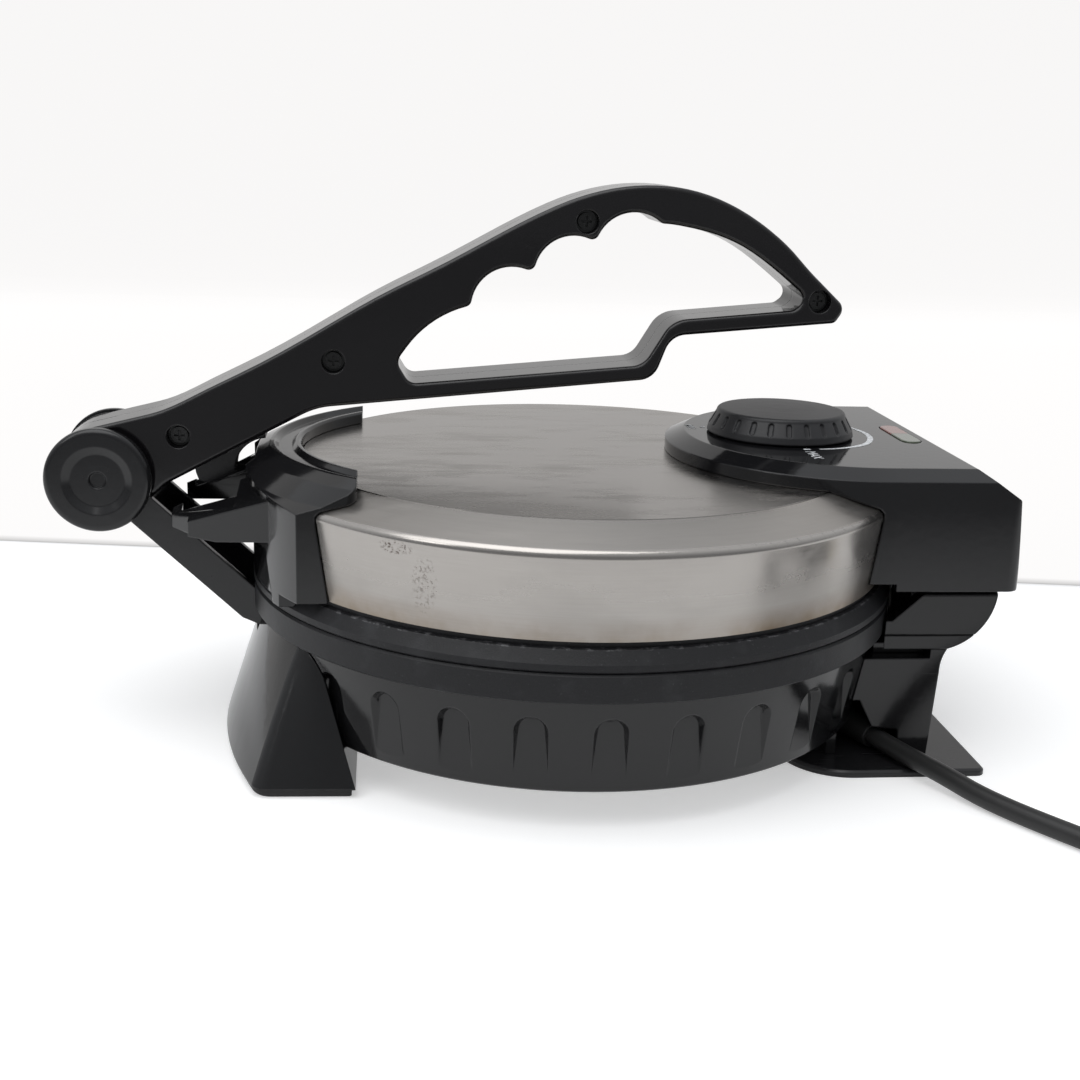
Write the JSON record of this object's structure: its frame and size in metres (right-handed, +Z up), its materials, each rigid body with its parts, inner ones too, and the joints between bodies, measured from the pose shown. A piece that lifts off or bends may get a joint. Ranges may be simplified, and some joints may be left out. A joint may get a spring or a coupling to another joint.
{
  "type": "electric roti maker",
  "caption": "Round countertop flatbread press with two heated plates, a rear hinge with thermostat dial, and a long lever that presses the lid shut.",
  "frame": {"origin": "centre of the footprint on the counter, without the cord", "axes": "+X from the lever pivot towards the control housing, +Y to the far side, +Z up"},
  "size_m": [0.5362, 0.345, 0.2268],
  "materials": {
    "black_gloss": "glossy black moulded plastic",
    "knob_black": "satin black moulded plastic",
    "foot_rubber": "matt black rubber pad",
    "plate_coating": "dark grey non-stick coating on cast aluminium",
    "stainless": "fine brushed stainless sheet with a brighter rolled rim",
    "plain_steel": "plain bright steel",
    "heater_tube": "dull heater tube",
    "dark_screws": "black screws",
    "inner_plastic": "heat resisting moulding",
    "lens_red": "dark red translucent lens",
    "lens_green": "dark smoky green translucent lens",
    "cord_rubber": "matt black flexible sheath",
    "blade_brass": "plated brass"
  },
  "bodies": {
    "base": {"base_shell": "black_gloss", "front_foot": "black_gloss", "rear_leg": "black_gloss", "front_foot_pads": "foot_rubber", "rear_foot_plate": "black_gloss", "hinge_bracket": "black_gloss", "bracket_seat": "black_gloss", "lower_heating_plate": "plate_coating", "lower_heating_element": "heater_tube", "lower_heat_reflector": "plain_steel", "bottom_cover": "plain_steel", "base_screws": "dark_screws", "terminal_block": "inner_plastic", "lid_hinge_pin": "plain_steel", "arm_hinge_pin": "plain_steel", "cord_strain_relief": "cord_rubber", "cord": "cord_rubber", "cord_coil": "cord_rubber", "plug": "cord_rubber", "plug_blades": "blade_brass"},
    "lid": {"lid_cover": "stainless", "upper_heating_plate": "plate_coating", "upper_heating_element": "heater_tube", "upper_heat_reflector": "plain_steel", "front_yoke": "black_gloss", "control_housing": "black_gloss", "hinge_plate": "plain_steel", "thermostat": "inner_plastic", "indicator_lens_red": "lens_red", "indicator_lens_green": "lens_green", "indicator_lamps": "inner_plastic", "lid_screws": "dark_screws"},
    "knob": {"control_knob": "knob_black", "knob_spindle": "plain_steel"},
    "arm": {"pivot_arm": "black_gloss", "pivot_cap_near": "black_gloss", "pivot_cap_far": "black_gloss", "lever_pivot_pin": "plain_steel"},
    "lever": {"lever_shell_near": "black_gloss", "lever_shell_far": "black_gloss", "press_claw": "black_gloss", "lever_screws": "dark_screws", "lever_bush": "inner_plastic"}
  },
  "joints": [
    {"name": "lid_hinge", "type": "hinge", "parent": "base", "child": "lid", "pos_m": [0.1605, 0, 0.074], "axis": [0, 1, 0], "range_deg": [0, 75]},
    {"name": "knob_turn", "type": "hinge", "parent": "lid", "child": "knob", "pos_m": [0.1109, 0, 0.125], "axis": [0, 0, 1], "range_deg": [-270, 0]},
    {"name": "arm_hinge", "type": "hinge", "parent": "base", "child": "arm", "pos_m": [-0.1045, 0, 0.05], "axis": [0, -1, 0], "range_deg": [0, 20.1]},
    {"name": "lever_pivot", "type": "hinge", "parent": "arm", "child": "lever", "pos_m": [-0.1715, 0, 0.1069], "axis": [0, -1, 0], "range_deg": [0, 148.1]}
  ],
  "couplings": [
    {"joint": "arm_hinge", "follows": "lid_hinge", "ratio": 0.26667},
    {"joint": "lever_pivot", "follows": "lid_hinge", "ratio": 1.9733}
  ]
}
